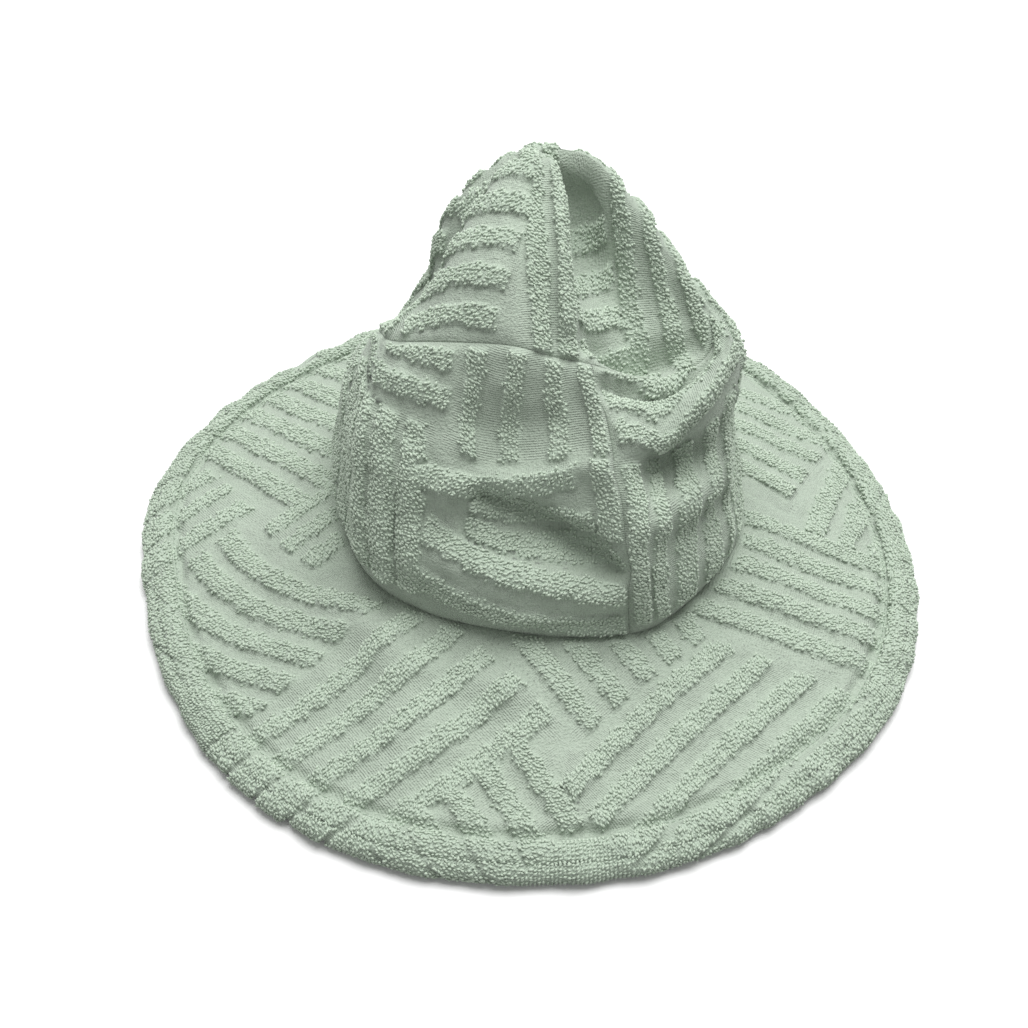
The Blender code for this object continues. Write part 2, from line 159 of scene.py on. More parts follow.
def hermite(values, knots, index, x):
    """A smooth cubic through values at uneven knots, at x in the interval that starts at index."""
    shape = (-1,) + (1,) * (values.ndim - 1)

    def slope(j):
        before = (knots[j] - knots[j - 1]).reshape(shape)
        after = (knots[j + 1] - knots[j]).reshape(shape)
        rise_after = (values[j + 1] - values[j]) / after
        rise_before = (values[j] - values[j - 1]) / before
        return (rise_after * before + rise_before * after) / (before + after)

    width = (knots[index + 1] - knots[index]).reshape(shape)
    u = ((x - knots[index]) / (knots[index + 1] - knots[index])).reshape(shape)
    start = (2 * u**3 - 3 * u**2 + 1) * values[index]
    start = start + (u**3 - 2 * u**2 + u) * width * slope(index)
    end = (3 * u**2 - 2 * u**3) * values[index + 1]
    return start + end + (u**3 - u**2) * width * slope(index + 1)


def along_loop(values, knots, x):
    """Smooth values round a loop of length 1."""
    loop_knots = np.concatenate([[knots[-1] - 1], knots, [1 + knots[0], 1 + knots[1]]])
    loop_values = np.concatenate([values[-1:], values, values[:2]])
    x = np.mod(x, 1.0)
    index = np.clip(np.searchsorted(loop_knots, x, side="right") - 1, 1, len(knots))
    return hermite(loop_values, loop_knots, index, x)


def along_run(values, knots, x):
    """Smooth values along an open run."""
    run_knots = np.concatenate([[2 * knots[0] - knots[1]], knots, [2 * knots[-1] - knots[-2]]])
    first = 2 * values[:1] - values[1:2]
    last = 2 * values[-1:] - values[-2:-1]
    run_values = np.concatenate([first, values, last])
    index = np.clip(np.searchsorted(run_knots, x, side="right") - 1, 1, len(knots) - 1)
    return hermite(run_values, run_knots, index, x)


CAGE = np.array(CROWN_COLUMNS, float)


def column_places():
    """Where each column stands round the crown, from 0 at the front seam to 1."""
    low, high = CAGE[:, 0], CAGE[:, -1]
    steps = norm(np.roll(low, -1, 0) - low)
    steps = steps + norm(np.roll(high, -1, 0) - high)
    return np.concatenate([[0], np.cumsum(steps)[:-1]]) / steps.sum()


PLACES = column_places()
BACK_SEAM = PLACES[BACK_COLUMN]


def side_points(around, up):
    """The crown side's outer surface: around is 0 to 1 from the front seam, up is 0 to 1."""
    columns = along_loop(CAGE, PLACES, np.asarray(around, float))
    levels = np.linspace(0, 1, CAGE.shape[1])
    points = along_run(np.swapaxes(columns, 0, 1), levels, np.asarray(up, float))
    return np.swapaxes(points, 0, 1)


def tip_points(around, up):
    """The crown tip's outer surface: up is 0 at the tip seam and 1 at the peak."""
    ring = CAGE[:, -1]
    peak = np.array(PEAK)
    outward = unit(np.cross(np.roll(ring, -1, 0) - np.roll(ring, 1, 0), peak - ring))
    levels = np.array([0, 0.25, 0.5, 0.75, 1.0])
    swell = np.pad(np.array(TIP_SWELL, float), ((0, 0), (1, 1)))
    lines = ring[:, None] * (1 - levels)[None, :, None] + peak * levels[None, :, None]
    cage = lines + outward[:, None] * swell[:, :, None]
    columns = along_loop(cage, PLACES, np.asarray(around, float))
    up = np.asarray(up, float)
    points = np.swapaxes(along_run(np.swapaxes(columns, 0, 1), levels, up), 0, 1)
    seam = side_points(around, [1.0])
    points = points + (seam - points[:, :1]) * ((1 - up) ** SEAM_PULL)[None, :, None]
    return round_peak(points, peak)


def round_peak(points, peak):
    """Rounds off the point where all the tip's columns meet."""
    distance = norm(points - peak) / PEAK_ROUND
    drop = PEAK_ROUND * PEAK_DROP * (np.sqrt(1 + distance**2) - distance)
    return points - drop[..., None] * np.array(PEAK_LEAN)


def rim_points(around):
    """The brim's outermost line, straight out from the crown seam, on the plan."""
    seam = side_points(around, [0.0])[:, 0]
    angle = np.arctan2(seam[:, 0] - CROWN_MIDDLE[0], -(seam[:, 1] - CROWN_MIDDLE[1]))
    steps = np.arange(len(RIM_RADII)) / len(RIM_RADII)
    radius = along_loop(np.array(RIM_RADII), steps, angle / (2 * math.pi))
    x = BRIM_CENTRE[0] + radius * np.sin(angle)
    y = BRIM_CENTRE[1] - radius * np.cos(angle)
    return np.stack([x, y, np.zeros_like(x)], axis=-1)


def hem_height(inward):
    """How far the hem stands off the plain slope: puffed near the edge, dented at the stitches."""
    puff = HEM_PUFF * bell(inward, HEM_CREST, HEM_SPREAD)
    return puff - STITCH_GROOVE * bell(inward, HEM_WIDTH, GROOVE_SPREAD)


def smooth_step(x):
    x = np.clip(x, 0, 1)
    return x * x * (3 - 2 * x)


def brim_grid(around):
    """The brim from its turned-under edge to the crown: points, and their places on the
    flat cut, which unrolls the hem outwards."""
    seam = side_points(around, [0.0])[:, 0]
    rim = rim_points(around)
    inward = unit((seam - rim) * (1, 1, 0))
    reach = norm((seam - rim)[:, :2])
    crest = 2 * HEM_ROUND
    rows = []
    places = []

    def add(distance, height, unrolled):
        rows.append(rim + inward * np.reshape(distance, (-1, 1))
                    + np.reshape(height, (-1, 1)) * (0, 0, 1))
        places.append((rim + inward * np.reshape(unrolled, (-1, 1)))[:, :2])

    half_turn = math.pi * HEM_ROUND
    for distance in np.arange(HEM_WIDTH + HEM_TUCK, HEM_ROUND, -BRIM_STEP):
        lift = 0.5 * crest * smooth_step((distance - HEM_ROUND - HEM_FLAT) / UNDER_RISE)
        add(distance, lift, 2 * HEM_ROUND - half_turn - distance)
    for angle in np.arange(-math.pi / 2, math.pi / 2, BRIM_STEP / HEM_ROUND):
        out = HEM_ROUND * (1 - math.cos(angle))
        high = HEM_ROUND * (1 + math.sin(angle))
        add(out, high, HEM_ROUND - HEM_ROUND * (math.pi / 2 - angle))
    start = HEM_WIDTH + HEM_ZONE
    slope = [np.full_like(reach, d) for d in np.arange(HEM_ROUND, start, BRIM_STEP)]
    slope += [start + (reach - start) * share for share in np.linspace(0, 1, BRIM_SLOPE_ROWS)]
    for distance in slope:
        share = (distance - HEM_ROUND) / (reach - HEM_ROUND)
        height = crest + (seam[:, 2] - crest) * share + hem_height(distance)
        add(distance, height, distance)
    return np.stack(rows, axis=1), np.stack(places, axis=1)


# ---- Folds, which push the cloth out or in along a path on the flat cut ----


def path_distance(places, path):
    """How far each place is from a bent line of points."""
    path = np.array(path, float)
    nearest = np.full(places.shape[:-1], 1e9)
    for start, end in zip(path[:-1], path[1:]):
        along = end - start
        share = np.clip(((places - start) @ along) / (along @ along), 0, 1)
        nearest = np.minimum(nearest, norm(places - start - share[..., None] * along))
    return nearest


def fold_height(places, folds):
    total = np.zeros(places.shape[:-1])
    for height, spread, *path in folds:
        total += height * bell(path_distance(places, path), 0, spread)
    return total


BRIM_FOLDS = (
    (3.5, 9, (-86, -52), (-54, -84), (-12, -98)),
    (2.6, 13, (-66, -66), (-52, -92), (-48, -124)),
    (-2.0, 11, (-40, -78), (-24, -104), (-12, -136)),
    (1.6, 12, (4, -84), (10, -112), (18, -140)),
    (-1.6, 16, (-120, -60), (-92, -46)),
    (1.8, 14, (96, -32), (150, -60)),
)
SIDE_FOLDS = (
    (-9.0, 6.5, (505, 66), (519, 61), (530, 54), (542, 44), (552, 36)),
    (3.0, 6, (482, 62), (496, 71), (511, 76), (530, 78), (552, 79)),
    (-3.0, 13, (500, 99), (545, 98)),
    (3.5, 10, (478, 36), (498, 36), (519, 32), (537, 25), (548, 22)),
    (-3.0, 15, (424, 30), (426, 88)),
    (2.5, 4, (444, 20), (446, 80)),
    (2.5, 4, (457, 14), (455, 80)),
    (2.5, 4, (468, 10), (467, 74)),
    (4.5, 6.5, (14, 88), (30, 98), (41, 100), (53, 98), (63, 100), (80, 104)),
    (-7.0, 7, (8, 113), (30, 116), (55, 113), (75, 116)),
    (-1.5, 6, (4, 76), (13, 79), (27, 80), (45, 73)),
    (5.0, 10, (18, 55), (50, 53)),
    (-2.5, 6, (54, 50), (60, 40)),
    (-4.0, 11, (470, 14), (552, 12)),
    (3.0, 7, (70, 20), (74, 60)),
)
TIP_FOLDS = (
    (5.0, 6, (-3, -14), (-3, -28), (-7, -44), (-12, -65), (-12, -78)),
    (-6.0, 8.5, (12, -24), (11, -34), (7, -50), (6, -66), (10, -80), (18, -92)),
    (-4.5, 13, (20, -34), (18, -60), (26, -88)),
    (-5.0, 10, (18, -92), (40, -100)),
    (-7.0, 8, (0, -91), (30, -95), (62, -88)),
)


# Each is the waves' size, their height and the seed of their random draws
BROAD_WAVES = (42.0, 0.7, 5)
FINE_WAVES = (17.0, 0.28, 6)
STRIPE_WAVES = (9.0, 0.5, 3)
LINING_WAVES = (11.0, 0.06, 21)
WAVE_COUNT = 9


def waviness(places, size, height, seed):
    """Small smooth unevenness of about that size, from a few crossing waves."""
    random = np.random.default_rng(seed)
    total = np.zeros(places.shape[:-1])
    for _ in range(WAVE_COUNT):
        angle = random.uniform(0, 2 * math.pi)
        length = size * random.uniform(0.7, 1.5)
        wave = places @ np.array([math.cos(angle), math.sin(angle)]) * (2 * math.pi / length)
        total += np.sin(wave + random.uniform(0, 2 * math.pi))
    return total * height / 3.0


def column_step(grid, closed):
    """How much a grid changes from one column to the next."""
    if closed:
        return (np.roll(grid, -1, 0) - np.roll(grid, 1, 0)) / 2
    return np.gradient(grid, axis=0)


def grid_normals(points, closed):
    """Outward unit normals of a grid."""
    return unit(np.cross(column_step(points, closed), np.gradient(points, axis=1)))



# ---- The woven pattern: blocks of pile stripes on the flat cut ----

# Each block is its four corners, from the first stripe's start and end to the last stripe's
# end and start, then how many stripes it has, and how far the first and the last stripe bow
# sideways.
BRIM_BLOCKS = (
    ((96, 3), (190, -11), (188, -88), (65, -60), 5, 0, 0),
    ((99, 107), (160, 90), (118, 11), (89, 25), 5, 0, 0),
    ((150, 70), (121, -4), (165, -12), (192, 56), 3, 0, 0),
    ((7, -136), (75, -68), (162, -91), (63, -191), 5, 0, 0),
    ((-14, -75), (21, -119), (79, -67), (44, -24), 5, 0, 0),
    ((0, -116), (25, -150), (-40, -200), (-65, -160), 5, 0, 0),
    ((-142, -112), (-50, -50), (15, -112), (-98, -182), 5, 8, 3),
    ((-135, 4), (-60, -55), (-117, -103), (-198, -40), 5, 9, 9),
    ((-183, -24), (-124, 10), (-158, 52), (-215, 20), 3, 0, 0),
    ((-98, -38), (-60, -12), (-88, 24), (-125, 0), 3, 0, 0),
    ((-177, 73), (-105, -2), (-52, 51), (-124, 126), 5, 0, 0),
    ((-122, 128), (-62, 62), (-10, 112), (-66, 178), 5, 0, 0),
    ((-66, 178), (-10, 112), (42, 160), (-8, 222), 5, 0, 0),
    ((-8, 100), (58, 72), (92, 134), (30, 170), 5, 0, 0),
    ((62, 210), (40, 160), (98, 120), (150, 175), 5, 0, 0),
    ((98, 118), (166, 88), (190, 130), (130, 170), 3, 0, 0),
)
RIGHT_BLOCKS = (
    ((3, 87), (85, 89), (85, 133), (3, 131), 3, 0, 0),
    ((0, 6), (0, 82), (84, 84), (84, 8), 5, 0, 0),
    ((86, 4), (162, 4), (162, 78), (86, 80), 5, 0, 0),
    ((88, 84), (88, 132), (162, 126), (162, 80), 5, 0, 0),
    ((164, 4), (164, 78), (240, 76), (240, 4), 5, 0, 0),
    ((242, 4), (318, 4), (318, 74), (242, 76), 5, 0, 0),
    ((320, 4), (320, 72), (352, 72), (352, 4), 2, 0, 0),
)
LEFT_BLOCKS = (
    ((484, 140), (484, 80), (564, 84), (564, 140), 4, 0, 0),
    ((440, 88), (484, 94), (484, 139), (440, 133), 3, 0, 0),
    ((413, 12), (413, 86), (474, 88), (474, 12), 5, 0, 0),
    ((466, 74), (543, 86), (543, 67), (466, 57), 1, 0, 0),
    ((543, 84), (545, 48), (563, 48), (563, 84), 1, 0, 0),
    ((498, 68), (546, 62), (562, 32), (492, 46), 2, 0, 0),
    ((474, 56), (560, 32), (560, 14), (472, 34), 1, 0, 0),
    ((472, 33), (560, 14), (560, -5), (468, 11), 1, 0, 0),
    ((340, 4), (411, 6), (411, 80), (340, 74), 5, 0, 0),
    ((396, 88), (438, 88), (438, 133), (396, 133), 3, 0, 0),
)
TIP_BLOCKS = (
    ((-38, 26), (2, -13), (-56, -72), (-98, -32), 5, 0, 0),
    ((-8, 6), (-43, -96), (-11, -106), (9, 2), 2, -3, 2),
    ((-3, -35), (22, -28), (42, -112), (-4, -114), 5, 0, 0),
    ((24, -10), (24, -112), (76, -112), (76, -10), 3, 0, 0),
    ((14, -8), (92, -8), (92, 66), (14, 66), 5, 0, 0),
    ((12, 2), (12, 90), (-62, 90), (-62, 28), 5, 0, 0),
    ((-110, 90), (-64, 90), (-64, -24), (-110, -24), 5, 0, 0),
)


BLOCK_REACH = (-1.5, 2.5)
SOLVER_ROUNDS = 6


def block_point(corners, along, across):
    """The place on the flat cut of a point inside a block, from its shares along and across."""
    a, b, c, d = np.array(corners, float)
    along = np.asarray(along)[..., None]
    across = np.asarray(across)[..., None]
    return (a * (1 - along) + b * along) * (1 - across) + (d * (1 - along) + c * along) * across


def block_place(corners, places):
    """The shares along and across a block of each place, which may lie outside it."""
    a, b, c, d = np.array(corners, float)
    along = np.full(places.shape[:-1], 0.5)
    across = np.full(places.shape[:-1], 0.5)
    for _ in range(SOLVER_ROUNDS):
        miss = block_point(corners, along, across) - places
        by_along = (b - a) * (1 - across[..., None]) + (c - d) * across[..., None]
        by_across = (d - a) * (1 - along[..., None]) + (c - b) * along[..., None]
        size = crossed(by_along, by_across)
        size = np.where(np.abs(size) < 1.0, 1.0, size)
        along = np.clip(along - crossed(miss, by_across) / size, *BLOCK_REACH)
        across = np.clip(across - crossed(by_along, miss) / size, *BLOCK_REACH)
    return along, across


def block_size(corners):
    a, b, c, d = np.array(corners, float)
    length = (np.linalg.norm(b - a) + np.linalg.norm(c - d)) / 2
    width = (np.linalg.norm(d - a) + np.linalg.norm(c - b)) / 2
    return length, width


def block_bow(bows, width, along, across):
    """How far, as a share of the block's width, a stripe bows sideways there."""
    first, last = bows
    depth = first * (1 - np.clip(across, 0, 1)) + last * np.clip(across, 0, 1)
    return depth / width * np.sin(math.pi * np.clip(along, 0, 1))


PILE_HALF_WIDTH = 4.4
PILE_END = 1.4
PILE_EDGE = 1.6
KNIT_EDGE = 1.9
NO_PILE = -9.0


def weave(places, blocks, fuller):
    """For each place: which block it belongs to, how much pile stands there from 0 to 1, its
    distance along and across the block's ribs, and how clear it is of the next block. The
    stripes are wider by fuller on each side."""
    best = np.full(places.shape[:-1], 1e9)
    second = best.copy()
    owner = np.zeros(places.shape[:-1], int)
    pile = np.zeros(places.shape[:-1])
    ribs = np.zeros(places.shape)
    bare = np.ones(places.shape[:-1], bool)
    ragged = waviness(places, *STRIPE_WAVES)
    for number, (*corners, count, first, last) in enumerate(blocks):
        along, across = block_place(corners, places)
        length, width = block_size(corners)
        outside = np.maximum(np.maximum(-along, along - 1) * length,
                             np.maximum(-across, across - 1) * width)
        mine = outside < best
        bowed = across - block_bow((first, last), width, along, across)
        pitch = width / count
        from_middle = np.abs(np.mod(bowed * count, 1.0) - 0.5) * pitch
        side = PILE_HALF_WIDTH + fuller - from_middle + ragged
        end = np.minimum(along, 1 - along) * length - PILE_END + fuller + ragged
        inside = np.minimum(side, end)
        inside = np.where((bowed < 0) | (bowed > 1), NO_PILE, inside)
        height = smooth_step(inside / PILE_EDGE + 0.5)
        second = np.where(mine, best, np.minimum(second, outside))
        best = np.where(mine, outside, best)
        owner = np.where(mine, number, owner)
        pile = np.where(mine, height, pile)
        ribs = np.where(mine[..., None], np.stack([along * length, across * width], -1), ribs)
        bare &= (outside > 0) | (np.mod(bowed, 1.0) != bowed)
    knit = smooth_step((second - best - KNIT_EDGE) / KNIT_EDGE)
    return owner, pile, ribs, knit, bare


# ---- Pieces of terry ----

PILE_HEIGHT = 1.5
GROUND_DEPTH = 1.1
INNER_DEPTH = 2.7
SEAM_DIP = 1.1
SEAM_SPREAD = 1.9
SEAM_BARE = 0.7
SEAM_FADE = 1.8
FILLED_PILE = 0.9
SEAM_SAMPLES = 360
NORMAL_BLEND = 7.0
FOLD_FADE = 9.0
INNER_STEP = 3
UNDERSIDE_KNIT = 0.7
LOOP_LENGTH = 2.25
LOOP_WIDTH = 1.1
LOOP_HEIGHT = 1.25
LOOP_ROW = 1.4
LOOP_LINES = 11
STITCH_PITCH = 3.2
STITCH_LENGTH = 2.6
STITCH_WIDTH = 0.6
STITCH_LIFT = 0.12
LOOP_REACH = 7.0
LOWEST_LOOP = 1.9
FLOOR_CLEARANCE = 0.2
LOOP_PITCH = 1.45
LOOP_MARGIN = 0.6
LOOP_STRAY = (0.3, 0.17)
LOOP_CUTOFF = 0.35
LOOP_AHEAD = 1.5
LOOP_SHIFT = 0.25
LOOP_TURN = (0.8, 0.5)
LOOP_TILT = 0.22
LOOP_VARIES = 0.13
LOOP_LIFT = (0.18, 0.12)
LOOP_TONE = (0.5, 0.22)
STITCH_SLANT = (0.12, 0.05)
STITCH_TONE = (0.5, 0.15)
CELL_REACH = 0.7
FAR_OFF = 2.5
SCALE_LIMITS = (0.6, 1.5)
SHORTEST_GAP = 8


def between(x, knots, values):
    """Values in 3-D read along straight lines between knots."""
    return np.stack([np.interp(x, knots, values[:, k]) for k in range(3)], -1)


def seam_normals(name, around):
    """The cloth's normals at the brim seam or the tip seam, shared by the pieces it joins."""
    steps = np.arange(SEAM_SAMPLES) / SEAM_SAMPLES
    side = side_points(steps, np.linspace(0, 1, SIDE_ROWS))
    if name == "brim":
        other, end = brim_grid(steps)[0], 0
    else:
        other, end = tip_points(steps, np.linspace(0, TIP_END, TIP_ROWS)), -1
    both = grid_normals(side, True)[:, end] + grid_normals(other, True)[:, -1 - end]
    both = unit(np.concatenate([both, both[:1]]))
    knots = np.linspace(0, 1, SEAM_SAMPLES + 1)
    return unit(between(np.mod(around, 1), knots, both))


def blend_normals(normals, shared, distance):
    share = smooth_step(distance / NORMAL_BLEND)[..., None]
    return unit(normals * share + shared[:, None] * (1 - share))


class Terry:
    """One cut piece of terry: a grid of surface points with their places on the flat cut."""

    def __init__(self, name, base, normals, places, closed, blocks, seam_distance,
                 fuller=0.0, kept_clear=1.0):
        self.name, self.closed, self.blocks = name, closed, blocks
        self.base, self.normals, self.places = base, normals, places
        self.owner, self.pile, self.ribs, self.knit, bare = weave(places, blocks, fuller)
        self.filled = bare & (fuller > 1.0)
        self.pile = np.where(self.filled, FILLED_PILE, self.pile) * kept_clear
        self.pile *= smooth_step((seam_distance - SEAM_BARE) / SEAM_FADE)
        dip = SEAM_DIP * bell(seam_distance, 0, SEAM_SPREAD)
        level = self.pile * PILE_HEIGHT - GROUND_DEPTH - dip
        self.outer = base + normals * level[..., None]
        self.inner = base - normals * (INNER_DEPTH + dip[..., None])
        self.outer[..., 2] = np.maximum(self.outer[..., 2], FLOOR_CLEARANCE)
        self.scale = block_scales(self)


def quads(grid):
    corners = (grid[:-1, :-1], grid[1:, :-1], grid[1:, 1:], grid[:-1, 1:])
    return np.stack(corners, -1).reshape(-1, 4)


def shell_mesh(name, outer, inner, closed, step):
    """A closed shell between two grids; the inner one keeps only every few rows and columns."""
    columns, rows = outer.shape[:2]
    keep_c = list(range(0, columns, step))
    keep_r = list(range(0, rows - 1, step)) + [rows - 1]
    if not closed and keep_c[-1] != columns - 1:
        keep_c.append(columns - 1)
    kept = np.ix_(keep_c, keep_r)
    verts = np.concatenate([outer.reshape(-1, 3), inner[kept].reshape(-1, 3)]) * MM
    top = np.arange(columns * rows).reshape(columns, rows)
    low = columns * rows + np.arange(len(keep_c) * len(keep_r)).reshape(len(keep_c), -1)
    if closed:
        top, low = np.vstack([top, top[:1]]), np.vstack([low, low[:1]])
    faces = np.concatenate([quads(top), quads(low)[:, [0, 3, 2, 1]]]).tolist()

    def close(edges, ends):
        """Faces from edges of the fine grid to those of the coarse one below."""
        for n, (start, end) in enumerate(zip(ends[:-1], ends[1:])):
            for fine, coarse, turn in edges:
                run = fine[start:end + 1][::turn].tolist()
                faces.append(run + coarse[n:n + 2][::-turn].tolist())

    ends = keep_c + [columns] * closed
    close(((top[:, 0], low[:, 0], -1), (top[:, -1], low[:, -1], 1)), ends)
    if not closed:
        close(((top[0], low[0], 1), (top[-1], low[-1], -1)), keep_r)
    mesh = bpy.data.meshes.new(name)
    mesh.from_pydata(verts.tolist(), [], faces)
    mesh.shade_smooth()
    return mesh, kept


def put_attribute(mesh, name, values):
    attribute = mesh.attributes.new(name, "FLOAT", "POINT")
    attribute.data.foreach_set("value", np.asarray(values, np.float32).ravel())


def add_object(name, data):
    made = bpy.data.objects.new(name, data)
    bpy.context.scene.collection.objects.link(made)
    return made


def add_piece(name, mesh, material, slot, *nodes):
    piece = add_object(name, mesh)
    mesh.materials.append(material)
    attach(piece, "root")
    if nodes:
        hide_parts(*nodes)
    return piece


def terry_piece(cloth, material):
    mesh, kept = shell_mesh(cloth.name, cloth.outer, cloth.inner, cloth.closed, INNER_STEP)
    flat = cloth.places[kept]
    plain = np.zeros(flat.shape[:-1])
    for name, grid, under in (("pile", cloth.pile, plain),
                              ("knit", cloth.knit, plain + UNDERSIDE_KNIT),
                              ("rib", cloth.ribs[..., 0], flat[..., 0]),
                              ("course", cloth.ribs[..., 1], flat[..., 1])):
        put_attribute(mesh, name, np.concatenate([grid.ravel(), under.ravel()]))
    return add_piece(cloth.name + "_terry", mesh, material, "terry", cloth.name)


def on_cloth(cloth, places):
    """The surface point, normal and the grid's two directions at places on the flat cut."""
    rows = cloth.places.shape[1]
    flat = cloth.places.reshape(-1, 2)
    tree = kdtree.KDTree(len(flat))
    for index, (x, y) in enumerate(flat.tolist()):
        tree.insert((x, y, 0.0), index)
    tree.balance()
    nearest = np.array([tree.find((x, y, 0.0))[1] for x, y in places.tolist()])
    column, row = nearest // rows, nearest % rows
    by_column = column_step(cloth.outer, cloth.closed)
    flat_column = column_step(cloth.places, cloth.closed)
    by_row = np.gradient(cloth.outer, axis=1)
    flat_row = np.gradient(cloth.places, axis=1)
    miss = places - flat[nearest]
    c, r = flat_column[column, row], flat_row[column, row]
    size = crossed(c, r)
    size = np.where(np.abs(size) < 1e-4, 1e-4, size)
    step_c = np.clip(crossed(miss, r) / size, -CELL_REACH, CELL_REACH)[:, None]
    step_r = np.clip(crossed(c, miss) / size, -CELL_REACH, CELL_REACH)[:, None]
    at = column, row
    point = cloth.outer[at] + by_column[at] * step_c + by_row[at] * step_r
    far = norm(miss) > FAR_OFF
    return point, cloth.normals[at], cloth.pile[at], cloth.owner[at], far


def loop_places(cloth, seed):
    """Where the loops of pile stand on the flat cut, and which way each stripe runs there."""
    random = np.random.default_rng(seed)
    found = []
    for number, (*corners, count, first, last) in enumerate(cloth.blocks):
        length, width = block_size(corners)
        longer, wider = cloth.scale[number]
        real_length, real_width = length * longer, width * wider
        steps = int((real_length - PILE_END) / LOOP_PITCH)
        along = np.linspace(PILE_END / length, 1 - PILE_END / length, steps)
        reach = min(LOOP_REACH, real_width / count / 2 - LOOP_MARGIN)
        offset = np.linspace(-1, 1, LOOP_LINES) * reach / real_width
        middles = (np.arange(count) + 0.5) / count
        k, j, i = np.meshgrid(middles, offset, along, indexing="ij")
        i = i + random.normal(0, LOOP_STRAY[0] * LOOP_PITCH / real_length, i.shape)
        i = i + (np.arange(LOOP_LINES) % 2)[None, :, None] * 0.5 * LOOP_PITCH / real_length
        across = k + j + random.normal(0, LOOP_STRAY[1] * LOOP_ROW / real_width, i.shape)
        across = across + block_bow((first, last), width, i, across)
        place = block_point(corners, i, across).reshape(-1, 2)
        ahead = block_point(corners, i + 0.01, across).reshape(-1, 2) - place
        found.append((place, ahead, np.full(len(place), number)))
    return [np.concatenate(part) for part in zip(*found)]


SEED_RING = 6


def loop_shape():
    """One loop as a small closed seed shape: two ends and a ring round its middle."""
    points = [(-1.0, 0, -0.15)]
    for k in range(SEED_RING):
        angle = 2 * math.pi * k / SEED_RING
        points.append((0.12, math.cos(angle), math.sin(angle)))
    points.append((1.0, 0, 0.05))
    faces = []
    for k in range(SEED_RING):
        j = 1 + (k + 1) % SEED_RING
        faces.append((0, j, 1 + k))
        faces.append((SEED_RING + 1, 1 + k, j))
    return np.array(points), np.array(faces)


def seeds_mesh(name, points, ahead, normals, sizes, tones):
    """Many seed shapes as one mesh. ahead and normals set how each lies."""
    shape, faces = loop_shape()
    x = unit(ahead - normals * (ahead * normals).sum(-1, keepdims=True))
    y = np.cross(normals, x)
    local = shape[None] * (sizes / 2)[:, None]
    verts = points[:, None] + local[..., :1] * x[:, None] + local[..., 1:2] * y[:, None]
    verts = (verts + local[..., 2:] * normals[:, None]) * MM
    index = (faces[None] + (np.arange(len(points)) * len(shape))[:, None, None]).reshape(-1)
    mesh = bpy.data.meshes.new(name)
    mesh.vertices.add(verts.shape[0] * verts.shape[1])
    mesh.vertices.foreach_set("co", verts.astype(np.float32).ravel())
    mesh.loops.add(len(index))
    mesh.loops.foreach_set("vertex_index", index.astype(np.int32))
    mesh.polygons.add(len(index) // 3)
    mesh.polygons.foreach_set("loop_start", np.arange(0, len(index), 3, dtype=np.int32))
    mesh.update()
    mesh.validate()
    mesh.shade_smooth()
    put_attribute(mesh, "tone", np.repeat(tones, len(shape)))
    return mesh


def loops_piece(cloth, material, seed):
    random = np.random.default_rng(seed)
    places, ahead, block = loop_places(cloth, seed)
    point, normal, pile, owner, far = on_cloth(cloth, places)
    keep = (pile > LOOP_CUTOFF) & (owner == block) & ~far & (point[:, 2] > LOWEST_LOOP)
    second = on_cloth(cloth, places[keep] + unit(ahead[keep]) * LOOP_AHEAD)[0]
    point, normal = point[keep], normal[keep]
    run = unit(second - point)
    spare = cloth.filled & (cloth.pile > LOOP_CUTOFF) & (cloth.outer[..., 2] > LOWEST_LOOP)
    onward = unit(np.roll(cloth.outer, -1, 0) - cloth.outer)
    point = np.concatenate([point, cloth.outer[spare]])
    normal = np.concatenate([normal, cloth.normals[spare]])
    run = np.concatenate([run, onward[spare]])
    side = np.cross(normal, run)
    point = point + side * random.normal(0, LOOP_SHIFT, (len(point), 1))
    turn = random.normal(*LOOP_TURN, len(point))[:, None]
    lean = unit(run * np.cos(turn) + side * np.sin(turn))
    tilt = random.normal(0.0, LOOP_TILT, (len(point), 1))
    facing = unit(normal + lean * tilt)
    sizes = np.array([LOOP_LENGTH, LOOP_WIDTH, LOOP_HEIGHT])
    sizes = sizes * random.normal(1, LOOP_VARIES, (len(point), 1))
    point = point + normal * random.normal(*LOOP_LIFT, (len(point), 1))
    tones = random.normal(*LOOP_TONE, len(point))
    mesh = seeds_mesh(cloth.name + "_loops", point, lean, facing, sizes, tones)
    return add_piece(cloth.name + "_loops", mesh, material, "terry")


def block_scales(cloth):
    """How much longer each block is on the surface than on the flat cut, along and across."""
    scales = []
    rows = cloth.places.shape[1]
    flat = cloth.places.reshape(-1, 2)
    for *corners, _, _, _ in cloth.blocks:
        pairs = block_point(corners, [0.35, 0.65, 0.5, 0.5], [0.5, 0.5, 0.35, 0.65])
        nearest = [int(np.argmin(((flat - end) ** 2).sum(-1))) for end in pairs]
        where = [cloth.base[n // rows, n % rows] for n in nearest]
        found = []
        for a, b in ((0, 1), (2, 3)):
            gap = np.linalg.norm(flat[nearest[a]] - flat[nearest[b]])
            longer = np.linalg.norm(where[a] - where[b]) / gap if gap > SHORTEST_GAP else 1.0
            found.append(np.clip(longer, *SCALE_LIMITS))
        scales.append(found)
    return scales


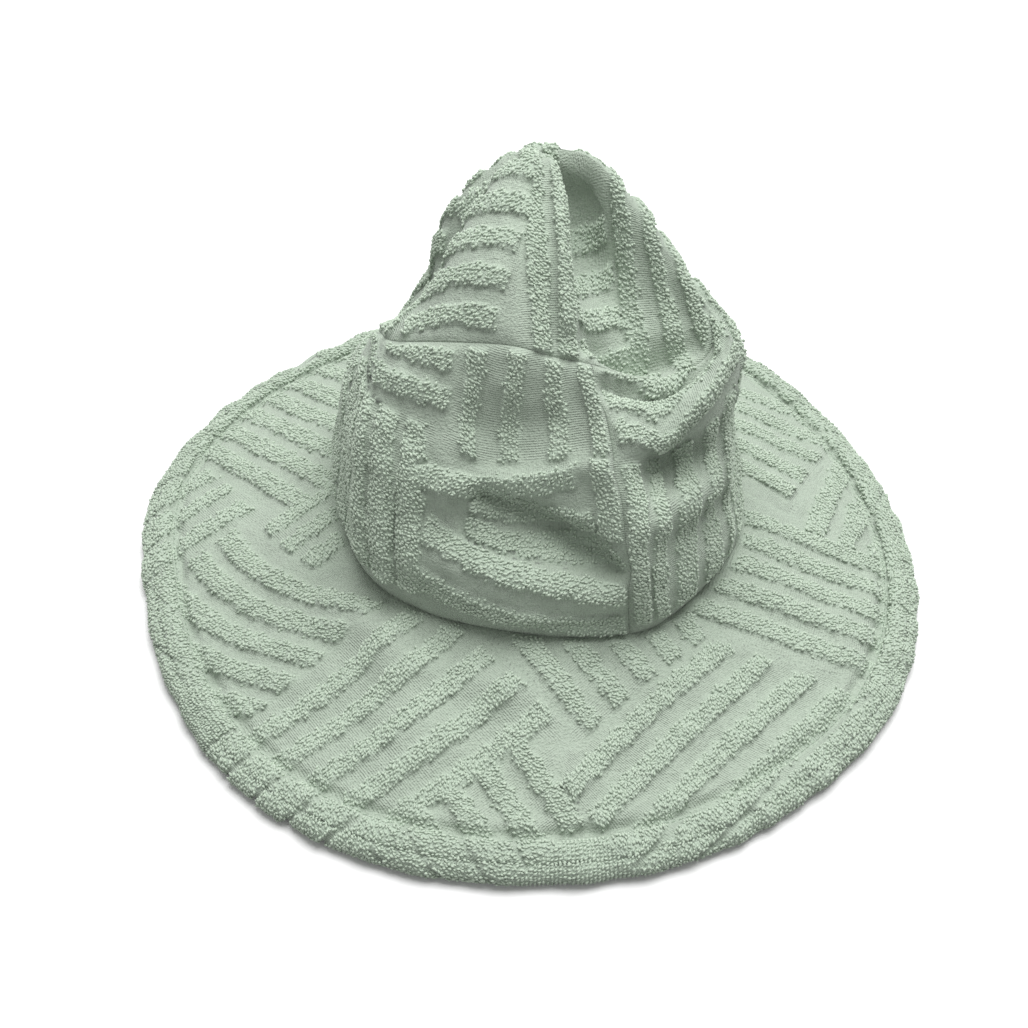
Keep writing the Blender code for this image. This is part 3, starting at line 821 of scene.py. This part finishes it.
BRIM_COLUMNS = 760
BRIM_STEP = 1.3
BRIM_SLOPE_ROWS = 50
SIDE_COLUMNS = 250
SIDE_ROWS = 103
TIP_COLUMNS = 400
TIP_ROWS = 82
TIP_END = 0.996
GROOVE_LENGTH = 41.5
PUCKERS = 47
PUCKER_PLACE = 29.0
PUCKER_SLANT = 0.14
PUCKER_REACH = 11.0
PUCKER_HEIGHT = 0.6
HEM_FULLNESS = 2.8
SIDE_FULLNESS = 0.95
LOWER_SIDE = 78.0
SIDE_BLEND = 20.0
RIPPLE_FADE = 14.0
HEM_CALM = 12.0
HEM_FULL_EDGE = 3.0
GROOVE_BARE = 0.2
GROOVE_EDGE = 1.2
GROOVE_DEPTH = 1.5
GROOVE_REACH = 2.6
PEAK_HOLE = 0.5
PEAK_CALM = 12.0
PEAK_UPRIGHT = 6.0
RING_STEPS = 420


def lengths_along(points):
    steps = norm(np.diff(points, axis=1))
    return np.concatenate([np.zeros((len(points), 1)), np.cumsum(steps, axis=1)], axis=1)


def folded(points, normals, rise):
    return points + normals * rise[..., None]


def make_brim():
    around = np.arange(BRIM_COLUMNS) / BRIM_COLUMNS
    points, places = brim_grid(around)
    lengths = lengths_along(points)
    distance = lengths[:, -1:] - lengths
    shared = seam_normals("brim", around)
    rise = fold_height(places, BRIM_FOLDS) + waviness(places, *BROAD_WAVES)
    rise = (rise + waviness(places, *FINE_WAVES)) * smooth_step(distance / RIPPLE_FADE)
    rise *= smooth_step((lengths - GROOVE_LENGTH) / HEM_CALM)
    base = folded(points, blend_normals(grid_normals(points, True), shared, distance), rise)
    base = folded(base, grid_normals(base, True), hem_relief(around, lengths))
    normals = blend_normals(grid_normals(base, True), shared, distance)
    fuller = HEM_FULLNESS * smooth_step((GROOVE_LENGTH - lengths) / HEM_FULL_EDGE)
    clear = smooth_step((np.abs(lengths - GROOVE_LENGTH) - GROOVE_BARE) / GROOVE_EDGE)
    return Terry("brim", base, normals, places, True, BRIM_BLOCKS, distance, fuller, clear)


def hem_relief(around, lengths):
    """The hem's fullness, the groove its stitching draws in, and slanting puckers."""
    turn = around[:, None] * 2 * math.pi
    slant = (lengths - GROOVE_LENGTH) * PUCKER_SLANT
    wave = np.sin(PUCKERS * turn + slant + 1.3 * np.sin(5 * turn) + 0.9 * np.sin(11 * turn + 2))
    wave += 0.6 * np.sin(31 * turn + slant * 0.7 + 2 * np.sin(3 * turn + 1))
    near = bell(lengths, PUCKER_PLACE, PUCKER_REACH)
    uneven = 1 + 0.3 * np.sin(9 * turn + 2 * np.sin(4 * turn)) + 0.2 * wave
    groove = GROOVE_DEPTH * bell(lengths, GROOVE_LENGTH, GROOVE_REACH) * uneven
    puff = 0.9 * bell(lengths, 33.0, 6.0)
    shoulder = 0.5 * bell(lengths, 47.0, 4.0)
    return wave * near * PUCKER_HEIGHT + puff + shoulder - groove


def crown_cloth(around, up, closed=False):
    """The crown side with its folds: points, normals, places on the flat cut and seam distances."""
    points = side_points(around, up)
    levels = np.linspace(0, 1, SIDE_ROWS)
    low = lengths_along(side_points(around, levels))
    high = np.stack([np.interp(up, levels, row) for row in low])
    places = np.stack([np.repeat((around * CROWN_ROUND)[:, None], len(up), 1), high], -1)
    turns = [places + (CROWN_ROUND * turn, 0) for turn in (-1, 0, 1)]
    to_brim, to_tip = high, low[:, -1:] - high
    ends = np.minimum(to_brim, to_tip)
    rise = sum(fold_height(turned, SIDE_FOLDS) for turned in turns)
    rise = rise * smooth_step(ends / FOLD_FADE)
    half = CROWN_ROUND / 2
    side_seam = np.minimum(np.abs(places[..., 0] - BACK_SEAM * CROWN_ROUND),
                           np.abs(np.mod(places[..., 0] + half, CROWN_ROUND) - half))
    ripple = waviness(places, *BROAD_WAVES) + waviness(places, *FINE_WAVES)
    rise += ripple * smooth_step(np.minimum(ends, side_seam) / RIPPLE_FADE)
    brim_shared, tip_shared = seam_normals("brim", around), seam_normals("tip", around)

    def blended(normals):
        return blend_normals(blend_normals(normals, brim_shared, to_brim), tip_shared, to_tip)

    base = folded(points, blended(grid_normals(points, closed)), rise)
    normals = blended(grid_normals(base, closed))
    return base, normals, places, np.minimum(ends, side_seam)


def make_side(name, start, end, blocks):
    step = (end - start) / (SIDE_COLUMNS - 1)
    around = np.linspace(start - step, end + step, SIDE_COLUMNS + 2)
    base, normals, places, seams = crown_cloth(around, np.linspace(0, 1, SIDE_ROWS))
    inside = slice(1, -1)
    flat = places[inside]
    fuller = SIDE_FULLNESS * smooth_step((LOWER_SIDE - flat[..., 1]) / SIDE_BLEND)
    return Terry(name, base[inside], normals[inside], flat, False, blocks, seams[inside], fuller)


def make_tip():
    around = np.arange(TIP_COLUMNS) / TIP_COLUMNS
    points = tip_points(around, np.linspace(0, TIP_END, TIP_ROWS))
    lengths = lengths_along(points)
    left = lengths[:, -1:] - lengths + PEAK_HOLE
    angle = 2 * math.pi * around[:, None]
    places = np.stack([left * np.sin(angle), -left * np.cos(angle)], -1)
    shared = seam_normals("tip", around)
    rise = fold_height(places, TIP_FOLDS) + waviness(places, *BROAD_WAVES)
    rise = rise * smooth_step(lengths / FOLD_FADE) * smooth_step(left / PEAK_CALM)
    base = folded(points, blend_normals(grid_normals(points, True), shared, lengths), rise)
    normals = blend_normals(grid_normals(base, True), shared, lengths)
    near_peak = smooth_step(left / PEAK_UPRIGHT)[..., None]
    normals = unit(normals * near_peak + np.array([0, 0, 1.0]) * (1 - near_peak))
    return Terry("crown_tip", base, normals, places, True, TIP_BLOCKS, lengths)


# ---- The lining, the stitches and the label ----


def lining_strip(name, around, up, depth, thickness, closed, material, slot, curl=0.0):
    """A thin strip inside the crown side, following its folds. Its inner face has a slight
    ripple, and curl lifts its upper rows away from the crown."""
    base, normals, places, _ = crown_cloth(around, up, closed)
    loose = np.linspace(0, 1, len(up)) ** 2 * curl
    ripple = LINING_LOOSE + waviness(places, *LINING_WAVES)
    outer = base - normals * (depth + ripple + loose)[..., None]
    inner = outer - normals * thickness
    mesh, kept = shell_mesh(name, outer, inner, closed, 1)
    for attribute, grid in (("rib", places[..., 0]), ("course", places[..., 1])):
        put_attribute(mesh, attribute, np.concatenate([grid.ravel(), grid[kept].ravel()]))
    piece = add_piece(name + "_cloth", mesh, material, slot, name)
    return piece, inner, normals


def stitches(path, normals, closed):
    """A row of thread stitches along a line of points on cloth that faces along normals."""
    line = np.concatenate([path, path[:1]]) if closed else path
    facing = np.concatenate([normals, normals[:1]]) if closed else normals
    travelled = np.concatenate([[0], np.cumsum(norm(np.diff(line, axis=0)))])
    starts = np.arange(STITCH_PITCH / 2, travelled[-1], STITCH_PITCH)

    middle = between(starts, travelled, line)
    up = unit(between(starts, travelled, facing))
    ahead = unit(between(starts + 0.5, travelled, line) - between(starts - 0.5, travelled, line))
    random = np.random.default_rng(len(starts))
    sizes = np.array([STITCH_LENGTH, STITCH_WIDTH, STITCH_WIDTH]) * np.ones((len(starts), 1))
    ahead = unit(ahead + np.cross(up, ahead) * random.normal(*STITCH_SLANT, (len(starts), 1)))
    tones = random.normal(*STITCH_TONE, len(starts))
    return middle + up * STITCH_LIFT, ahead, up, sizes, tones


def stitch_piece(name, lines, material, slot, *nodes):
    """Several rows of stitches as one piece."""
    rows = zip(*(stitches(*line) for line in lines))
    mesh = seeds_mesh(name, *(np.concatenate(part) for part in rows))
    return add_piece(name, mesh, material, slot, *nodes)


def make_lining(shift, brim, lining, thread, label):
    """Everything inside the crown, and the hem's stitches."""
    depth = TERRY + LINING_GAP
    ring = np.arange(RING_STEPS) / RING_STEPS
    half = TAPE_HALF_WIDTH / CROWN_ROUND
    across = np.linspace(-half, half, 13)
    spacing = (BACK_SEAM - 2 * half) / 26
    label_around = np.linspace(BACK_SEAM - half - 4 * spacing, BACK_SEAM - half - 2 * spacing, 25)
    made = {}
    for name, around, up, thick, closed in (
        ("sweatband", ring, np.linspace(0.04, 0.24, 15), SWEATBAND, True),
        ("tip_seam_tape", ring, np.linspace(0.87, 0.925, 7), TAPE, True),
        ("front_seam_tape", across * RIDGE_SPREAD, np.linspace(0.32, 0.8, 60), TAPE, False),
        ("back_seam_tape", BACK_SEAM + across, np.linspace(0.32, 0.8, 60), TAPE, False),
    ):
        made[name] = lining_strip(name, around, up, depth, thick, closed, lining, "lining_cotton")
    made["care_label"] = lining_strip("care_label", label_around, np.linspace(0.32, 0.56, 25),
                                      TERRY + LABEL_DEPTH, LABEL, False, label, "label", LABEL_CURL)
    lines = []
    for name in ("sweatband", "tip_seam_tape"):
        _, inner, normals = made[name]
        lines += [(inner[:, row], -normals[:, row], True) for row in (1, -2)]
    for name in ("front_seam_tape", "back_seam_tape"):
        _, inner, normals = made[name]
        lines += [(inner[column], -normals[column], False) for column in (1, -2)]
    _, inner, normals = made["care_label"]
    lines.append((inner[:, 2], -normals[:, 2], False))
    lining_thread = stitch_piece("lining_stitches", lines, thread, "thread")
    row = int(np.searchsorted(lengths_along(brim.base)[0], GROOVE_LENGTH))
    hem_line = (brim.outer[:, row] - shift / MM, brim.normals[:, row], True)
    hem_thread = stitch_piece("hem_stitches", [hem_line], thread, "thread", "hem_topstitch")
    pieces = [piece for piece, _, _ in made.values()] + [lining_thread, hem_thread]
    for piece in pieces:
        piece.data.transform(Matrix.Translation(Vector(shift)))
    return made, hem_thread


# ---- Materials ----


def put(node, **values):
    """Sets a node's inputs. An underscore stands for a space."""
    for name, value in values.items():
        node.inputs[name.replace("_", " ")].default_value = value


class Nodes:
    """A short way to write a node material."""

    def __init__(self, name):
        self.material = bpy.data.materials.new(name)
        self.material.use_nodes = True
        self.tree = self.material.node_tree
        self.shader = self.tree.nodes["Principled BSDF"]

    def node(self, kind, **settings):
        node = self.tree.nodes.new(kind)
        for key, value in settings.items():
            setattr(node, key, value)
        return node

    def link(self, source, target):
        self.tree.links.new(source, target)

    def value(self, name):
        return self.node("ShaderNodeAttribute", attribute_name=name).outputs["Fac"]

    def math(self, operation, *inputs):
        node = self.node("ShaderNodeMath", operation=operation)
        for socket, value in zip(node.inputs, inputs):
            if isinstance(value, (int, float)):
                socket.default_value = value
            else:
                self.link(value, socket)
        return node.outputs[0]

    def scaled(self, value, factor, plus):
        return self.math("MULTIPLY_ADD", value, factor, plus)

    def colour(self, factor, dark, light):
        self.link(self.mix(factor, dark, light), self.shader.inputs["Base Color"])

    def noise(self, scale, detail=3.0):
        place = self.node("ShaderNodeTexCoord").outputs["Object"]
        noise = self.node("ShaderNodeTexNoise")
        put(noise, Scale=scale, Detail=detail)
        self.link(place, noise.inputs["Vector"])
        return noise.outputs["Fac"]

    def mix(self, factor, first, second):
        node = self.node("ShaderNodeMix", data_type="RGBA")
        self.link(factor, node.inputs["Factor"])
        for socket, value in ((node.inputs["A"], first), (node.inputs["B"], second)):
            if isinstance(value, tuple):
                socket.default_value = (*value, 1.0)
            else:
                self.link(value, socket)
        return node.outputs["Result"]

    def bump(self, height, distance):
        node = self.node("ShaderNodeBump")
        put(node, Distance=distance, Strength=1.0)
        self.link(height, node.inputs["Height"])
        self.link(node.outputs["Normal"], self.shader.inputs["Normal"])

    def fabric(self, sheen, roughness=0.95):
        put(self.shader, Roughness=roughness, Sheen_Weight=sheen, Sheen_Roughness=0.5,
            Specular_IOR_Level=0.2)


GROUND_LIGHT = (0.465, 0.535, 0.45)
GROUND_DARK = (0.36, 0.43, 0.35)
# painted shade: the cloth under the loops is darker than the loops, standing in for the shade in
# the gaps between them
PAINTED_LOOP_GAP_SHADE = (0.44, 0.525, 0.43)
LOOP_LIGHT = (0.545, 0.635, 0.525)
LOOP_DARK = (0.43, 0.515, 0.415)
TAPE_LIGHT = (0.80, 0.81, 0.77)
TAPE_DARK = (0.58, 0.60, 0.55)
THREAD_LIGHT = (0.44, 0.54, 0.43)
THREAD_DARK = (0.30, 0.39, 0.30)
LABEL_LIGHT = (0.86, 0.86, 0.84)
LABEL_DARK = (0.72, 0.72, 0.70)
RIB_PITCH = 0.95
COURSE_PITCH = 0.9
TWILL_PITCH = 0.9
SATIN_PITCH = 0.35


def wave(kit, coordinate, pitch):
    """0 to 1 and back once in each pitch of a coordinate in millimetres."""
    turns = kit.math("MULTIPLY", coordinate, 2 * math.pi / pitch)
    return kit.scaled(kit.math("SINE", turns), 0.5, 0.5)


def ground_material():
    kit = Nodes("terry_ground")
    rib = wave(kit, kit.value("rib"), RIB_PITCH)
    course = wave(kit, kit.value("course"), COURSE_PITCH)
    knit = kit.math("MULTIPLY", rib, kit.scaled(course, 0.45, 0.55))
    fuzz = kit.noise(1000.0)
    worn = kit.scaled(kit.noise(140.0), 1.5, -0.2)
    knit = kit.math("MULTIPLY", knit, kit.math("MULTIPLY", kit.value("knit"), worn))
    height = kit.scaled(fuzz, 2.2, knit)
    speckle = kit.scaled(fuzz, 1.6, -0.8)
    blotch = kit.scaled(kit.noise(22.0), 0.5, speckle)
    tint = kit.scaled(knit, 0.5, blotch)
    ground = kit.mix(tint, GROUND_DARK, GROUND_LIGHT)
    # under the pile the ground takes the painted shade of the gaps between the loops
    kit.colour(kit.value("pile"), ground, PAINTED_LOOP_GAP_SHADE)
    kit.bump(height, distance=0.0004)
    kit.fabric(sheen=0.25)
    return kit.material


def loop_material():
    kit = Nodes("terry_loops")
    own = kit.math("MULTIPLY", kit.value("tone"), 0.6)
    tone = kit.scaled(kit.noise(26.0), 0.5, own)
    kit.colour(tone, LOOP_DARK, LOOP_LIGHT)
    kit.bump(kit.noise(1600.0, detail=2.0), distance=0.0002)
    kit.fabric(sheen=0.3)
    return kit.material


def woven_material(name, dark, light, pitch, slope, sheen, roughness):
    """Woven cloth with diagonal lines: twill, or satin where the slope is small."""
    kit = Nodes(name)
    diagonal = kit.scaled(kit.value("course"), slope, kit.value("rib"))
    line = wave(kit, diagonal, pitch)
    cross = wave(kit, kit.value("course"), pitch * 0.8)
    height = kit.scaled(cross, 0.35, line)
    tint = kit.scaled(height, 0.45, kit.math("MULTIPLY", kit.noise(60.0), 0.6))
    kit.colour(tint, dark, light)
    kit.bump(height, distance=0.00012)
    kit.fabric(sheen, roughness)
    return kit.material


def thread_material():
    kit = Nodes("sewing_thread")
    twist = kit.node("ShaderNodeTexWave", bands_direction="DIAGONAL")
    put(twist, Scale=1400.0)
    kit.link(kit.node("ShaderNodeTexCoord").outputs["Object"], twist.inputs["Vector"])
    own = kit.math("MULTIPLY", kit.value("tone"), 0.5)
    tone = kit.scaled(twist.outputs["Fac"], 0.5, own)
    kit.colour(tone, THREAD_DARK, THREAD_LIGHT)
    kit.bump(twist.outputs["Fac"], distance=0.0001)
    kit.fabric(sheen=0.2, roughness=0.6)
    return kit.material


# ---- The scene ----

LOOK_DOWN = 48.0
CAMERA_DISTANCE = 0.75
FOCAL_WIDTHS = 1600 / 1028
ASIDE = -0.01654
UPWARD = 0.0496
FLOOR_SIZE = 30.0
FLOOR_SEEN = (0.95, 0.95, 0.95, 1.0)
FLOOR_GIVEN = (0.4, 0.4, 0.4, 1.0)     # what it reflects onto the hat
WORLD_STRENGTH = 0.4
LOOP_SEED = 11


def add_camera(shift):
    down = math.radians(LOOK_DOWN)
    data = bpy.data.cameras.new("camera")
    data.sensor_width = 36.0
    data.lens = FOCAL_WIDTHS * data.sensor_width
    data.shift_x = ASIDE
    data.shift_y = UPWARD
    camera = add_object("camera", data)
    back = CAMERA_DISTANCE * math.cos(down)
    camera.location = (shift[0], shift[1] - back, CAMERA_DISTANCE * math.sin(down))
    camera.rotation_euler = (math.radians(90 - LOOK_DOWN), 0, 0)
    bpy.context.scene.camera = camera


def add_light(name, place, target, size, power):
    data = bpy.data.lights.new(name, "AREA")
    data.shape = "DISK"
    data.size = size
    data.energy = power
    light = add_object(name, data)
    light.location = place
    light.rotation_euler = (Vector(target) - Vector(place)).to_track_quat("-Z", "Y").to_euler()


def floor_material():
    """White paper to the camera, that gives less light back to the hat."""
    kit = Nodes("floor_paper")
    put(kit.shader, Base_Color=FLOOR_SEEN, Roughness=1.0)
    soft_grey = kit.node("ShaderNodeBsdfDiffuse")
    put(soft_grey, Color=FLOOR_GIVEN)
    mix = kit.node("ShaderNodeMixShader")
    kit.link(kit.node("ShaderNodeLightPath").outputs["Is Camera Ray"], mix.inputs[0])
    kit.link(soft_grey.outputs[0], mix.inputs[1])
    kit.link(kit.shader.outputs[0], mix.inputs[2])
    kit.link(mix.outputs[0], kit.tree.nodes["Material Output"].inputs["Surface"])
    return kit.material


def add_studio():
    bpy.ops.mesh.primitive_plane_add(size=FLOOR_SIZE)
    floor = bpy.context.object
    floor.name = "floor"
    floor.data.materials.append(floor_material())
    add_light("key", (0.2, 0.42, 1.75), (0, 0, 0.05), size=1.7, power=46.0)
    world = bpy.data.worlds.new("world")
    bpy.context.scene.world = world
    world.use_nodes = True
    put(world.node_tree.nodes["Background"], Color=(1, 1, 1, 1), Strength=WORLD_STRENGTH)
    bpy.context.scene.view_settings.view_transform = "Standard"


def main():
    cloths = [
        make_brim(),
        make_side("crown_side_right", 0.0, BACK_SEAM, RIGHT_BLOCKS),
        make_side("crown_side_left", BACK_SEAM, 1.0, LEFT_BLOCKS),
        make_tip(),
    ]
    brim = cloths[0].outer.reshape(-1, 3)
    low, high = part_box("brim")
    middle = (brim.min(axis=0) + brim.max(axis=0)) / 2 * MM
    shift = np.array([(low[0] + high[0]) / 2 - middle[0], (low[1] + high[1]) / 2 - middle[1], 0.0])
    ground = ground_material()
    loops = loop_material()
    for number, cloth in enumerate(cloths):
        for grid in (cloth.base, cloth.outer, cloth.inner):
            grid += shift / MM
        piece = terry_piece(cloth, ground)
        loops_piece(cloth, loops, LOOP_SEED + number)
    lining = woven_material("lining_twill", TAPE_DARK, TAPE_LIGHT, TWILL_PITCH,
                            slope=1.0, sheen=0.2, roughness=0.9)
    label = woven_material("label_satin", LABEL_DARK, LABEL_LIGHT, SATIN_PITCH,
                           slope=0.1, sheen=0.1, roughness=0.55)
    made, hem_thread = make_lining(shift, cloths[0], lining, thread_material(), label)
    add_camera(shift)
    add_studio()


main()
